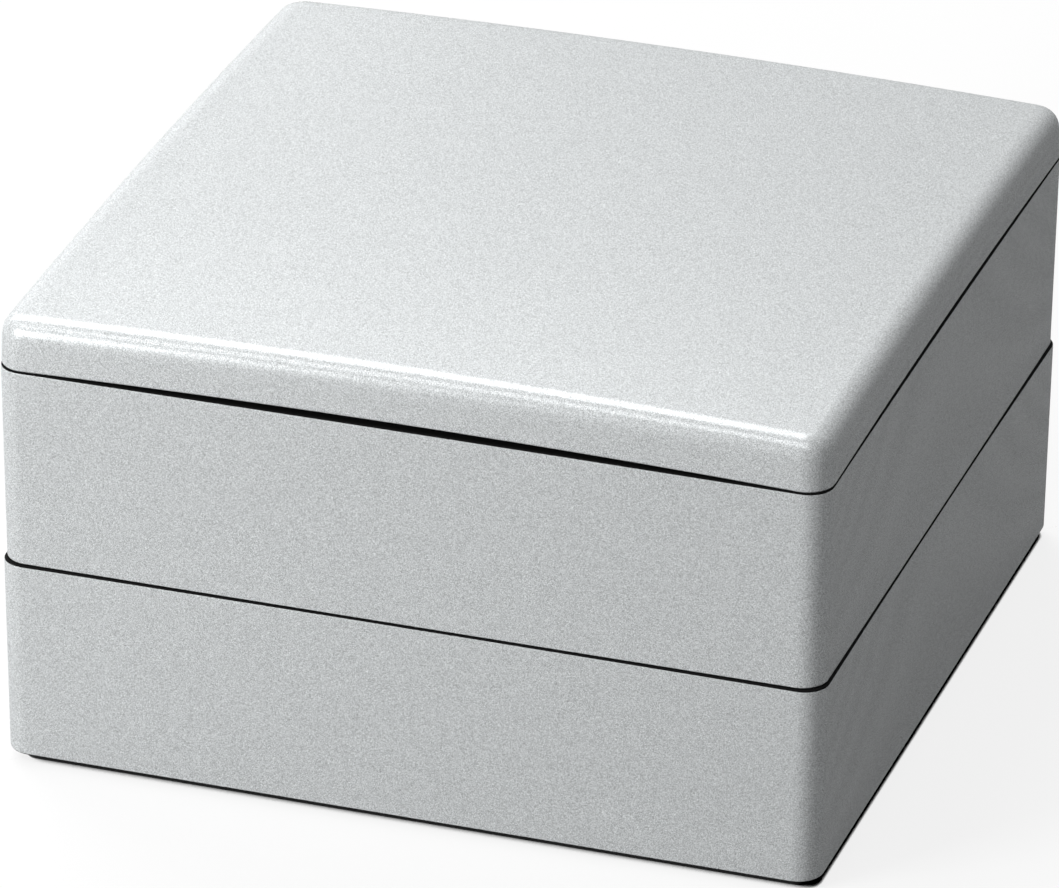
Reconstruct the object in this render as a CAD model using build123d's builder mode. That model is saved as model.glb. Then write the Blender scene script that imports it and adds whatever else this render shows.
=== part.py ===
from build123d import *
import os

# A two-tier square stacking food box with a lift-off lid. Each tier is one
# moulding: a drafted wall, a floor and an inset foot that drops into the mouth
# of whatever tier stands below it. The lid is a shallow crowned cap with an
# inner lip that drops into the upper tier's mouth.
# Millimetres, +Z up. The origin is the middle of the footprint, at the table.

# Overall
rim_width = 195.0
stack_corner_radius = 6.0

# Tier walls
tier_height = 48.6
wall_thickness = 3.0
side_draft = 0.6
side_bow = 0.5
rim_round = 0.6
shoulder_round = 0.6

# Tier floor and foot
floor_thickness = 2.6
inner_floor_round = 2.4
foot_height = 2.5
foot_wall = 3.2
foot_draft = 0.3
foot_round = 0.5
nest_clearance = 0.35

# Lid
lid_height = 11.9
lid_corner_radius = 6.6
lid_crown = 3.3
lid_draft = 0.35
lid_top_round = 5.2
lid_edge_round = 0.6
lid_roof = 3.0
lid_inner_round = 2.4
lip_height = 3.0
lip_wall = 2.0
lip_draft = 0.15
lip_round = 0.5
skirt_arch_rise = 1.65
skirt_landing = 12.0

# How far a cutting shape runs past the face it cuts
overrun = 5.0

# The most of a corner's radius that a round running into it may take
round_limit_share = 0.85

rim_half = rim_width / 2
shoulder_half = rim_half - side_draft
mouth_half = rim_half - wall_thickness
mouth_radius = max(stack_corner_radius - wall_thickness, rim_round * 2)
nest_half = mouth_half - side_bow - nest_clearance
nest_radius = max(mouth_radius, foot_round * 2)
foot_inner_half = nest_half - foot_draft - foot_wall
lip_inner_half = nest_half - lip_wall


def straight_outline(height, half, radius):
    """A square with rounded corners, at a height above the table."""
    with BuildSketch(Plane.XY.offset(height)) as outline:
        RectangleRounded(2 * half, 2 * half, radius)
    return outline.sketch


def bowed_outline(height, half, radius, bow):
    """The same square with each side drawn in at its middle by the bow."""
    with BuildSketch(Plane.XY.offset(height)) as outline:
        with BuildLine():
            for turn in range(4):
                start = Vector(-half, -half).rotate(Axis.Z, turn * 90)
                middle = Vector(0, bow - half).rotate(Axis.Z, turn * 90)
                end = Vector(half, -half).rotate(Axis.Z, turn * 90)
                ThreePointArc(start, middle, end)
        make_face()
        fillet(outline.vertices(), radius)
    return outline.sketch


def ball_radius(chord_half, rise):
    """The radius of the ball whose cap rises this much over this half chord."""
    return (chord_half**2 + rise**2) / (2 * rise)


def make_cavity(floor_top, rim_height):
    """The space inside a tier, which follows the drafted and bowed wall."""
    draft_at_floor = side_draft * (rim_height - floor_top) / tier_height
    with BuildPart() as cavity:
        loft([
            straight_outline(floor_top, mouth_half - draft_at_floor, mouth_radius),
            bowed_outline(rim_height, mouth_half, mouth_radius, side_bow),
        ])
        floor_edges = cavity.faces().sort_by(Axis.Z)[0].edges()
        fillet(floor_edges, min(inner_floor_round, mouth_radius * round_limit_share))
    return cavity


def make_foot(foot_bottom, shoulder_height):
    """The foot ring that nests in the mouth of the tier below."""
    with BuildPart() as foot:
        loft([
            straight_outline(foot_bottom, nest_half - foot_draft, nest_radius),
            straight_outline(shoulder_height, nest_half, nest_radius),
        ])
        resting_edges = foot.faces().sort_by(Axis.Z)[0].edges()
        fillet(resting_edges, foot_round)
        with BuildSketch(Plane.XY.offset(foot_bottom)):
            RectangleRounded(2 * foot_inner_half, 2 * foot_inner_half, nest_radius)
        extrude(amount=foot_height, mode=Mode.SUBTRACT)
    return foot


def make_tier(name, shoulder_height):
    """One tier, with its shoulder at this height and its foot below it."""
    rim_height = shoulder_height + tier_height
    cavity = make_cavity(shoulder_height + floor_thickness, rim_height)
    foot = make_foot(shoulder_height - foot_height, shoulder_height)
    with BuildPart() as tier:
        # Drafted outer wall, straight at the shoulder and bowed at the rim
        loft([
            straight_outline(shoulder_height, shoulder_half, stack_corner_radius),
            bowed_outline(rim_height, rim_half, stack_corner_radius, side_bow),
        ])
        shoulder_edges = tier.faces().sort_by(Axis.Z)[0].edges()
        fillet(shoulder_edges, shoulder_round)
        add(cavity.part, mode=Mode.SUBTRACT)
        # The rim's outer and inner edges are eased for the lacquer
        rim_edges = tier.faces().sort_by(Axis.Z)[-1].edges()
        fillet(rim_edges, rim_round)
        add(foot.part)
    tier.part.label = name
    return tier


def make_lip(lip_bottom, lip_top):
    """The block inside the skirt whose lower end drops into the tier's mouth."""
    with BuildPart() as lip:
        loft([
            straight_outline(lip_bottom, nest_half - lip_draft, nest_radius),
            straight_outline(lip_top, nest_half, nest_radius),
        ])
        leading_edges = lip.faces().sort_by(Axis.Z)[0].edges()
        fillet(leading_edges, lip_round)
    return lip


def make_hollow(lip_bottom, crown_top, dome_radius):
    """The space under the lid, domed like the top so that the roof is even."""
    with BuildPart() as hollow:
        with BuildSketch(Plane.XY.offset(lip_bottom - overrun)):
            RectangleRounded(2 * lip_inner_half, 2 * lip_inner_half, lid_inner_round)
        extrude(amount=crown_top - lip_bottom + overrun)
        with Locations((0, 0, crown_top - dome_radius)):
            Sphere(dome_radius - lid_roof, rotation=(90, 0, 0), mode=Mode.INTERSECT)
    return hollow


def make_lid(seat_height):
    """The lid, resting with the corners of its skirt on a rim at this height."""
    crown_top = seat_height + lid_height + lid_crown
    corner_reach = rim_half * 2**0.5
    dome_radius = ball_radius(corner_reach, lid_crown)
    landing_half = rim_half - skirt_landing
    arch_radius = ball_radius(landing_half, skirt_arch_rise)
    arch_drop = arch_radius - (arch_radius**2 - landing_half**2 - rim_half**2) ** 0.5
    arch_top = seat_height + arch_drop
    lip_bottom = seat_height - lip_height
    lip = make_lip(lip_bottom, seat_height + lid_height / 2)
    hollow = make_hollow(lip_bottom, crown_top, dome_radius)
    # Edges further out than this lie on the skirt's outer face
    skirt_half = rim_half - lid_corner_radius / 2
    with BuildPart() as lid:
        # Drafted sides, trimmed by a very large ball that gives the top its crown
        loft([
            straight_outline(seat_height, rim_half, lid_corner_radius),
            straight_outline(crown_top, rim_half - lid_draft, lid_corner_radius),
        ])
        with Locations((0, 0, crown_top - dome_radius)):
            Sphere(dome_radius, rotation=(90, 0, 0), mode=Mode.INTERSECT)
        top_edges = lid.faces().sort_by(Axis.Z)[-1].edges()
        fillet(top_edges, min(lid_top_round, lid_corner_radius * round_limit_share))
        # The skirt's lower edge arches clear of the rim between its corners
        with Locations((0, 0, arch_top - arch_radius)):
            Sphere(arch_radius, rotation=(90, 0, 0), mode=Mode.SUBTRACT)
        skirt_edges = lid.edges().filter_by(
            lambda edge: edge.center().Z < arch_top
            and max(abs(edge.center().X), abs(edge.center().Y)) > skirt_half
        )
        fillet(skirt_edges, lid_edge_round)
        add(lip.part)
        add(hollow.part, mode=Mode.SUBTRACT)
    lid.part.label = "lid"
    return lid


lower_tier = make_tier("lower_tier", foot_height)
upper_tier = make_tier("upper_tier", foot_height + tier_height)
lid = make_lid(foot_height + 2 * tier_height)

os.makedirs("parts", exist_ok=True)
for piece in (lower_tier, upper_tier, lid):
    export_step(piece.part, f"parts/{piece.part.label}.step")
    box = piece.part.bounding_box()
    print(piece.part.label, "volume", round(piece.part.volume), "size", box.size, "from", box.min)
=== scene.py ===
import math

import bmesh
import bpy
from mathutils import Matrix, Vector


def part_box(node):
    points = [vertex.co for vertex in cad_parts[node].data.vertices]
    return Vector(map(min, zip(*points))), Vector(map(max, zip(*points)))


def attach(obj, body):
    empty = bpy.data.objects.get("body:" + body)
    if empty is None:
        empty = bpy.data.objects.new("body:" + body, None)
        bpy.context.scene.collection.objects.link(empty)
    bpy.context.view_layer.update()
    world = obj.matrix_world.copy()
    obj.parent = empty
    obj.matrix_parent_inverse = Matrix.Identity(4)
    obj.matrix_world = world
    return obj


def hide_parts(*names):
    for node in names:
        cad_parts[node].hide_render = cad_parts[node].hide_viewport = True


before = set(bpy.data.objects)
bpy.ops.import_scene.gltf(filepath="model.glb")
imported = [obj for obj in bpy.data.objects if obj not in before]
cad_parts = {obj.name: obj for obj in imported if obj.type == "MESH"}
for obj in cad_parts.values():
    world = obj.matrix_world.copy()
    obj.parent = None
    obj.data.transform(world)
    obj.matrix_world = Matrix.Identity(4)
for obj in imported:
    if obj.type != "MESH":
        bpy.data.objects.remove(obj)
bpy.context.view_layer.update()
mm = 0.001

# The camera stands in front of the near corner and looks down on the lid,
# far off behind a long lens, so the upright edges stay nearly parallel. It
# leans by half a degree, as the photograph does.
turn_to_right = math.radians(18.13)
look_down = math.radians(26.18)
lean = math.radians(0.554)
camera_distance = 2242.9 * mm
lens_length = 325.5
aim_to_right = -2.26 * mm
aim_up = 46.3 * mm

backwards = Vector((
    math.sin(turn_to_right) * math.cos(look_down),
    -math.cos(turn_to_right) * math.cos(look_down),
    math.sin(look_down),
))
level_right = Vector((math.cos(turn_to_right), math.sin(turn_to_right), 0))
level_up = backwards.cross(level_right)
camera_right = level_right * math.cos(lean) + level_up * math.sin(lean)
camera_up = level_up * math.cos(lean) - level_right * math.sin(lean)

camera_data = bpy.data.cameras.new("camera")
camera_data.lens = lens_length
camera_data.sensor_width = 36
camera_data.clip_end = 100
camera = bpy.data.objects.new("camera", camera_data)
bpy.context.scene.collection.objects.link(camera)
camera_place = camera_right * aim_to_right + camera_up * aim_up + backwards * camera_distance
camera_turn = Matrix((camera_right, camera_up, backwards)).transposed().to_4x4()
camera.matrix_world = Matrix.Translation(camera_place) @ camera_turn
bpy.context.scene.camera = camera
bpy.context.scene.view_settings.view_transform = "Standard"

# The floor is matt studio paper, much larger than the view, and the room
# round it is plain. Both look white and light the box less than white would.
floor_width = 60.0
floor_grey = "#6E6E6E"
floor_white = "#ECECEC"
room_grey = 0.095
# The box's shadow is painted onto the paper: it darkens in the narrow gap under
# the box, on the two sides that face away from the front left, where most of the light comes from
gap_reach = 3.3 * mm
gap_dark = 0.7
gap_white = 0.84
gap_samples = 32
to_main_light = (-1, -1, 0.5)


def linear(hex_colour):
    """An sRGB hex colour as the linear RGBA that a shader takes."""
    channels = [int(hex_colour[i:i + 2], 16) / 255 for i in (1, 3, 5)]
    return [c / 12.92 if c <= 0.04045 else ((c + 0.055) / 1.055) ** 2.4 for c in channels] + [1.0]


def add_node(tree, kind, settings=None, sockets=None, links=None):
    """One shader node, with its settings, its socket values and what feeds its sockets."""
    node = tree.nodes.new(kind)
    for name, value in (settings or {}).items():
        setattr(node, name, value)
    for name, value in (sockets or {}).items():
        node.inputs[name].default_value = value
    for name, source in (links or {}).items():
        tree.links.new(source, node.inputs[name])
    return node


def seen_directly(tree):
    """1 for what the camera, a reflection or a clear material sees, 0 for light that bounces."""
    path = add_node(tree, "ShaderNodeLightPath")
    mirrored = add_node(tree, "ShaderNodeMath", {"operation": "MAXIMUM"}, None, {
        0: path.outputs["Is Camera Ray"],
        1: path.outputs["Is Glossy Ray"],
    })
    return add_node(tree, "ShaderNodeMath", {"operation": "MAXIMUM"}, None, {
        0: mirrored.outputs[0],
        1: path.outputs["Is Transmission Ray"],
    }).outputs[0]


bpy.ops.object.select_all(action="DESELECT")
bpy.ops.mesh.primitive_plane_add(size=floor_width)
floor = bpy.context.object
floor.name = "floor"
paper = bpy.data.materials.new("studio_paper")
paper.use_nodes = True
tree = paper.node_tree
matt = tree.nodes["Principled BSDF"]
matt.inputs["Roughness"].default_value = 1.0
matt.inputs["Specular IOR Level"].default_value = 0.0
matt.inputs["Emission Color"].default_value = linear(floor_white)
# Painted shadow: ambient occlusion, taken towards the main light, darkens the paper's colour and its
# white glow near the box
lit_from = add_node(tree, "ShaderNodeVectorMath", {"operation": "NORMALIZE"}, {0: to_main_light})
openness = add_node(tree, "ShaderNodeAmbientOcclusion", {"samples": gap_samples}, {
    "Distance": gap_reach,
}, {"Normal": lit_from.outputs["Vector"]})
gap_shade = add_node(tree, "ShaderNodeMapRange", {"interpolation_type": "SMOOTHSTEP"}, {
    "From Min": gap_dark,
    "From Max": gap_white,
}, {"Value": openness.outputs["AO"]})
shadowed_paper_grey = add_node(tree, "ShaderNodeValToRGB", None, None, {"Fac": gap_shade.outputs["Result"]})
shadowed_paper_grey.color_ramp.elements[1].color = linear(floor_grey)
tree.links.new(shadowed_paper_grey.outputs["Color"], matt.inputs["Base Color"])
brightness = add_node(tree, "ShaderNodeMath", {"operation": "MULTIPLY"}, None, {
    0: gap_shade.outputs["Result"],
    1: seen_directly(tree),
})
tree.links.new(brightness.outputs[0], matt.inputs["Emission Strength"])
floor.data.materials.append(paper)

room = bpy.data.worlds.new("room")
room.use_nodes = True
bpy.context.scene.world = room
tree = room.node_tree
background = tree.nodes["Background"]
background.inputs["Color"].default_value = linear("#FFFFFF")
level = add_node(tree, "ShaderNodeMapRange", None, {
    "To Min": room_grey,
    "To Max": 1.0,
}, {"Value": seen_directly(tree)})
tree.links.new(level.outputs["Result"], background.inputs["Strength"])

# Four soft boxes: one at the front left, which makes the long front bright, two
# overhead, which draw the two bright lines along the lid's front edge, and a low
# one at the back left, which brightens the lid's left edge.
soft_boxes = {
    # In metres and watts: the place, the point that it faces, width, depth and power
    "front_left_light": ((-0.62, -0.8, 0.38), (0, 0, 0.06), 0.4, 0.4, 8.1),
    "overhead_front_light": ((-0.35, -0.68, 1.5), (-0.35, 0, 0.06), 1.4, 0.7, 8.2),
    "overhead_back_light": ((-0.95, 0.82, 1.33), (-0.95, 0, 0.06), 1.6, 0.8, 24.5),
    "back_left_light": ((-0.74, 1.12, 0.42), (-0.1, 0, 0.11), 0.6, 0.3, 0.9),
}
for name, (place, faces, width, depth, power) in soft_boxes.items():
    lamp = bpy.data.lights.new(name, "AREA")
    lamp.shape = "RECTANGLE"
    lamp.size = width
    lamp.size_y = depth
    lamp.energy = power
    soft_box = bpy.data.objects.new(name, lamp)
    soft_box.location = place
    soft_box.rotation_mode = "QUATERNION"
    soft_box.rotation_quaternion = (Vector(place) - Vector(faces)).to_track_quat("Z", "Y")
    bpy.context.scene.collection.objects.link(soft_box)


# The lower tier is one ABS moulding: drafted walls that draw in a little at
# the middle of the rim, a flat floor and an inset foot ring. It is sprayed
# silver outside, black inside and on the foot, and its edges stay bare black
# resin, which also stands in as painted shade for the shadow in each seam.
lower_low, lower_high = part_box("lower_tier")
foot_height = 2.5 * mm
shoulder = lower_low.z + foot_height
rim = lower_high.z
rim_half = 97.5 * mm
shoulder_half = 96.9 * mm
corner_radius = 6.0 * mm
wall = 3.0 * mm
side_bow = 0.5 * mm
floor_top = shoulder + 2.6 * mm
inner_draft_share = 0.994
foot_half = 93.65 * mm
foot_draft = 0.3 * mm
foot_wall_share = 0.966
edge_round = 0.6 * mm
foot_round = 0.5 * mm
inner_round = 2.4 * mm
# Where the paints stop: how far out, and how far a face is turned down or up. The black left on the edge
# rounds is partly painted shade for the shadow in the seams
painted_half = 96.4 * mm
bare_half = 95.0 * mm
silver_stops_down = -0.3
silver_stops_up = 0.35
# How finely the outline and the rounds are stepped, and what counts as sharp
side_steps = 31
corner_steps = 8
edge_steps = 4
inner_steps = 6
even_profile = 0.5
sharp_angle = math.radians(45)
smooth_angle = math.radians(50)
near = 0.02 * mm


def edit(part):
    """Opens a piece in edit mode, in face mode with nothing selected."""
    bpy.ops.object.select_all(action="DESELECT")
    part.select_set(True)
    bpy.context.view_layer.objects.active = part
    bpy.ops.object.mode_set(mode="EDIT")
    bpy.ops.mesh.select_mode(type="FACE")
    bpy.ops.mesh.select_all(action="DESELECT")


def pick(part, kind, test):
    """Selects the vertices, edges or faces of an open piece that pass a test."""
    bpy.ops.mesh.select_mode(type=kind)
    bpy.ops.mesh.select_all(action="DESELECT")
    mesh = bmesh.from_edit_mesh(part.data)
    elements = {"VERT": mesh.verts, "EDGE": mesh.edges, "FACE": mesh.faces}[kind]
    for element in elements:
        if not element.hide and test(element):
            element.select_set(True)
    mesh.select_flush_mode()
    bmesh.update_edit_mesh(part.data)


def level_face(height):
    """A test for the flat faces that lie at a height."""
    return lambda face: all(abs(v.co.z - height) < near for v in face.verts)


def beyond(place, half):
    """How far a place lies outside an upright wall with this half width.

    The corners are rounded less the further in the wall is, as on a moulding of even thickness.
    """
    radius = max(corner_radius - (rim_half - half), edge_round)
    over_x = abs(place.x) - half + radius
    over_y = abs(place.y) - half + radius
    return math.hypot(max(over_x, 0), max(over_y, 0)) + min(max(over_x, over_y), 0) - radius


def level_edge(height, inner_half, outer_half):
    """A test for the sharp edges that run round the box at a height, between two half widths."""
    def passes(edge):
        flat = all(abs(v.co.z - height) < near for v in edge.verts)
        between = all(beyond(v.co, inner_half) > 0 > beyond(v.co, outer_half) for v in edge.verts)
        return flat and between and edge.calc_face_angle(0) > sharp_angle
    return passes


def rounded_plate(name, half, radius, height):
    """A new piece, open in edit mode: one flat square face with rounded corners and stepped sides."""
    bpy.ops.object.select_all(action="DESELECT")
    bpy.ops.mesh.primitive_plane_add(size=2 * half, location=(0, 0, height))
    part = bpy.context.object
    part.name = name
    bpy.ops.object.transform_apply(location=True, rotation=True, scale=True)
    edit(part)
    bpy.ops.mesh.select_all(action="SELECT")
    bpy.ops.mesh.bevel(offset=radius, segments=corner_steps, affect="VERTICES", profile=even_profile)
    bpy.ops.mesh.select_all(action="SELECT")
    bpy.ops.mesh.delete(type="ONLY_FACE")
    pick(part, "EDGE", lambda edge: edge.calc_length() > half)
    bpy.ops.mesh.subdivide(number_cuts=side_steps)
    bpy.ops.mesh.select_all(action="SELECT")
    bpy.ops.mesh.edge_face_add()
    bpy.ops.mesh.select_mode(type="FACE")
    bpy.ops.mesh.select_all(action="SELECT")
    return part


def pull(rise, share=1.0):
    """Extrudes the selected face straight up or down and scales it about the box's middle."""
    bpy.ops.mesh.extrude_region_move(TRANSFORM_OT_translate={"value": (0, 0, rise)})
    bpy.ops.transform.resize(value=(share, share, 1), center_override=(0, 0, 0))


def round_edges(part, test, radius, steps, profile=even_profile):
    """Rounds the edges of an open piece that pass a test."""
    pick(part, "EDGE", test)
    bpy.ops.mesh.bevel(offset=radius, segments=steps, profile=profile)


def bow_sides(part, height, half, amount):
    """Draws in the middle of each side of the outline at a height, less and less towards the corners."""
    def on_outline(vertex):
        level = abs(vertex.co.z - height) < near
        return level and max(abs(vertex.co.x), abs(vertex.co.y)) > half - wall / 2

    for turn in range(4):
        pick(part, "VERT", on_outline)
        bpy.ops.mesh.hide(unselected=True)
        inward = Matrix.Rotation(turn * math.pi / 2, 3, "Z") @ Vector((0, 1, 0))
        middle = inward * -half
        pick(part, "VERT", lambda v: (Vector((v.co.x, v.co.y, 0)) - middle).length < 2 * side_bow + near)
        bpy.ops.transform.translate(
            value=inward * amount,
            use_proportional_edit=True,
            proportional_edit_falloff="INVERSE_SQUARE",
            proportional_size=half,
        )
        bpy.ops.mesh.reveal(select=False)


def smooth(part):
    """Closes a piece's edit, turns its faces outward and shades its rounds smooth and its walls flat."""
    bpy.ops.mesh.select_mode(type="FACE")
    bpy.ops.mesh.select_all(action="SELECT")
    bpy.ops.mesh.normals_make_consistent(inside=False)
    bpy.ops.object.mode_set(mode="OBJECT")
    bpy.ops.object.shade_smooth_by_angle(angle=smooth_angle)
    bpy.ops.object.modifier_add(type="WEIGHTED_NORMAL")
    weighted_normals = part.modifiers[-1]
    weighted_normals.keep_sharp = True
    bpy.ops.object.modifier_apply(modifier=weighted_normals.name)


def silver_flake_lacquer():
    """Silver metallic lacquer: fine aluminium flakes sprayed under a satin clear coat.

    To the eye it is an even pale silver with a faint sparkle and blurred highlights.
    """
    # Real flakes are finer than this, and are drawn coarser so that they show
    flake = 0.1 * mm
    paint = bpy.data.materials.new("silver_flake_lacquer")
    paint.use_nodes = True
    tree = paint.node_tree
    surface = tree.nodes["Principled BSDF"]
    surface.inputs["Metallic"].default_value = 0.2
    surface.inputs["Roughness"].default_value = 0.3
    surface.inputs["Specular IOR Level"].default_value = 0.0
    place = add_node(tree, "ShaderNodeTexCoord").outputs["Object"]
    flakes = add_node(tree, "ShaderNodeTexVoronoi", None, {"Scale": 1 / flake}, {"Vector": place})
    turned = add_node(tree, "ShaderNodeSeparateColor", None, None, {"Color": flakes.outputs["Color"]})
    silver = add_node(tree, "ShaderNodeValToRGB", None, None, {"Fac": turned.outputs["Red"]})
    silver.color_ramp.elements[0].color = linear("#8B8E8F")
    silver.color_ramp.elements[1].color = linear("#FAFDFE")
    tree.links.new(silver.outputs["Color"], surface.inputs["Base Color"])
    tilt = add_node(tree, "ShaderNodeBump", None, {"Strength": 0.02, "Distance": flake}, {
        "Height": turned.outputs["Green"],
    })
    tree.links.new(tilt.outputs["Normal"], surface.inputs["Normal"])
    return paint


def black_lacquer():
    """Black urethane lacquer, sprayed and left glossy, with the slight ripple that spraying leaves."""
    ripple = 3 * mm
    paint = bpy.data.materials.new("black_lacquer")
    paint.use_nodes = True
    tree = paint.node_tree
    surface = tree.nodes["Principled BSDF"]
    surface.inputs["Base Color"].default_value = linear("#0D0D0E")
    surface.inputs["Specular IOR Level"].default_value = 0.25
    place = add_node(tree, "ShaderNodeTexCoord").outputs["Object"]
    waves = add_node(tree, "ShaderNodeTexNoise", None, {"Scale": 1 / ripple, "Detail": 2.0}, {
        "Vector": place,
    })
    sheen = add_node(tree, "ShaderNodeMapRange", None, {"To Min": 0.22, "To Max": 0.34}, {
        "Value": waves.outputs["Fac"],
    })
    tree.links.new(sheen.outputs["Result"], surface.inputs["Roughness"])
    swell = add_node(tree, "ShaderNodeBump", None, {"Strength": 0.05, "Distance": ripple / 4}, {
        "Height": waves.outputs["Fac"],
    })
    tree.links.new(swell.outputs["Normal"], surface.inputs["Normal"])
    return paint


def black_resin_and_seam_shade():
    """Black ABS as it leaves the mould, with the fine matt grain of the mould's etched steel.

    It shows only where both lacquers stop, and makes the dark line of each seam: partly the black of the
    bare moulding, partly painted shade that stands in for the shadow in the seam's gap.
    """
    grain = 0.3 * mm
    resin_and_seam_shade = bpy.data.materials.new("black_resin_and_seam_shade")
    resin_and_seam_shade.use_nodes = True
    tree = resin_and_seam_shade.node_tree
    surface = tree.nodes["Principled BSDF"]
    surface.inputs["Specular IOR Level"].default_value = 0.05
    place = add_node(tree, "ShaderNodeTexCoord").outputs["Object"]
    pits = add_node(tree, "ShaderNodeTexNoise", None, {"Scale": 1 / grain}, {"Vector": place})
    shade = add_node(tree, "ShaderNodeValToRGB", None, None, {"Fac": pits.outputs["Fac"]})
    shade.color_ramp.elements[0].color = linear("#0E0E0E")
    shade.color_ramp.elements[1].color = linear("#1C1C1C")
    tree.links.new(shade.outputs["Color"], surface.inputs["Base Color"])
    matt = add_node(tree, "ShaderNodeMapRange", None, {"To Min": 0.7, "To Max": 0.9}, {
        "Value": pits.outputs["Fac"],
    })
    tree.links.new(matt.outputs["Result"], surface.inputs["Roughness"])
    return resin_and_seam_shade


silver_paint = silver_flake_lacquer()
black_paint = black_lacquer()
resin_and_seam_shade = black_resin_and_seam_shade()


def spray(part, silvered, bare):
    """Paints a piece silver where one test says so, and black but for what the other leaves bare."""
    finishes = [silver_paint, black_paint, resin_and_seam_shade]
    for finish in finishes:
        part.data.materials.append(finish)
    for face in part.data.polygons:
        finish = silver_paint if silvered(face) else resin_and_seam_shade if bare(face) else black_paint
        face.material_index = finishes.index(finish)


def on_outer_wall(face):
    """True on the outer wall, where the silver stops part of the way round its two edges."""
    return beyond(face.center, painted_half) > 0 and silver_stops_down < face.normal.z < silver_stops_up


def further_out(half):
    """A test for the faces that lie outside an upright wall with this half width."""
    return lambda face: beyond(face.center, half) > 0


lower_tier = rounded_plate("lower_tier_moulding", shoulder_half, corner_radius, shoulder)
pull(rim - shoulder, rim_half / shoulder_half)
bow_sides(lower_tier, rim, rim_half, side_bow)
pick(lower_tier, "FACE", level_face(rim))
bpy.ops.mesh.inset(thickness=wall)
pull(floor_top - rim, inner_draft_share)
bow_sides(lower_tier, floor_top, (rim_half - wall) * inner_draft_share, -side_bow)
pick(lower_tier, "FACE", level_face(shoulder))
bpy.ops.mesh.inset(thickness=shoulder_half - foot_half)
pull(-foot_height, 1 - foot_draft / foot_half)
pull(0, foot_wall_share)
pull(foot_height)
round_edges(lower_tier, level_edge(floor_top, 0, rim_half), inner_round, inner_steps)
round_edges(lower_tier, level_edge(rim, 0, rim_half + wall), edge_round, edge_steps)
round_edges(lower_tier, level_edge(shoulder, foot_half + wall / 2, rim_half), edge_round, edge_steps)
foot_bottom = shoulder - foot_height
round_edges(lower_tier, level_edge(foot_bottom, foot_half - wall / 2, rim_half), foot_round, edge_steps)
smooth(lower_tier)
spray(lower_tier, on_outer_wall, further_out(bare_half))
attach(lower_tier, "lower_tier")
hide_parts("lower_tier")

# The upper tier is the same moulding again. It stands with its foot ring in
# the mouth of the lower one.
tier_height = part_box("upper_tier")[1].z - lower_high.z

upper_tier = bpy.data.objects.new("upper_tier_moulding", lower_tier.data.copy())
bpy.context.scene.collection.objects.link(upper_tier)
edit(upper_tier)
bpy.ops.mesh.select_all(action="SELECT")
bpy.ops.transform.translate(value=(0, 0, tier_height))
bpy.ops.object.mode_set(mode="OBJECT")
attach(upper_tier, "upper_tier")
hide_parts("upper_tier")

# The lid is a shallow ABS moulding with a softly rounded top edge. All of it
# but the lip is crowned like a very large ball, so the skirt touches the rim
# only at the corners. It is silver on top, black underneath and bare black
# resin between, which also stands in as painted shade for the seam's shadow.
lid_low, lid_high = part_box("lid")
lip_height = 3.0 * mm
seat = lid_low.z + lip_height
lid_crown = 3.3 * mm
lid_top = lid_high.z - lid_crown
lid_radius = 6.6 * mm
crown_reach = (rim_half - lid_radius) * math.sqrt(2) + lid_radius
lid_draft_share = 0.9964
top_round = 6.2 * mm
top_round_steps = 12
top_round_profile = 0.64
roof = 3.0 * mm
lip_half = 93.65 * mm
lip_draft_share = 0.9984
lip_wall_share = 0.98
lip_round = 0.5 * mm
ring_share = 0.8
rings = 8
# How far down a face of the skirt may turn and still be silver, and how far up
# a face turns that lies on the top
skirt_silver_stops = -0.95
turned_up = 0.1


def close_in_rings():
    """Steps the selected face in towards its middle, ring by ring, and closes it to a point."""
    for ring in range(rings):
        pull(0, ring_share)
    bpy.ops.mesh.poke()


def on_top_or_skirt(face):
    """True on the lid's top and its skirt, down to where the skirt's lower edge has turned under."""
    on_skirt = beyond(face.center, painted_half) > 0 and face.normal.z > skirt_silver_stops
    return on_skirt or face.normal.z > turned_up


lid = rounded_plate("lid_moulding", rim_half, lid_radius, seat)
pull(lid_top - seat, lid_draft_share)
top_edges = level_edge(lid_top, 0, rim_half + wall)
round_edges(lid, top_edges, top_round, top_round_steps, top_round_profile)
pick(lid, "FACE", level_face(lid_top))
close_in_rings()
pick(lid, "FACE", level_face(seat))
bpy.ops.mesh.inset(thickness=rim_half - lip_half)
pull(-lip_height, lip_draft_share)
pull(0, lip_wall_share)
pull(lid_top - roof - lid_low.z)
close_in_rings()
round_edges(lid, level_edge(seat, lip_half + wall / 2, rim_half + wall), edge_round, edge_steps)
round_edges(lid, level_edge(lid_low.z, lip_half - wall, rim_half), lip_round, edge_steps)
pick(lid, "VERT", lambda v: v.co.z < seat - lip_height / 2)
bpy.ops.mesh.hide(unselected=False)
pick(lid, "VERT", lambda v: (v.co - Vector((0, 0, lid_top))).length < near)
bpy.ops.transform.translate(
    value=(0, 0, lid_crown),
    use_proportional_edit=True,
    proportional_edit_falloff="INVERSE_SQUARE",
    proportional_size=crown_reach,
)
bpy.ops.mesh.reveal(select=False)
smooth(lid)
spray(lid, on_top_or_skirt, further_out(lip_half - near))
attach(lid, "lid")
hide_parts("lid")
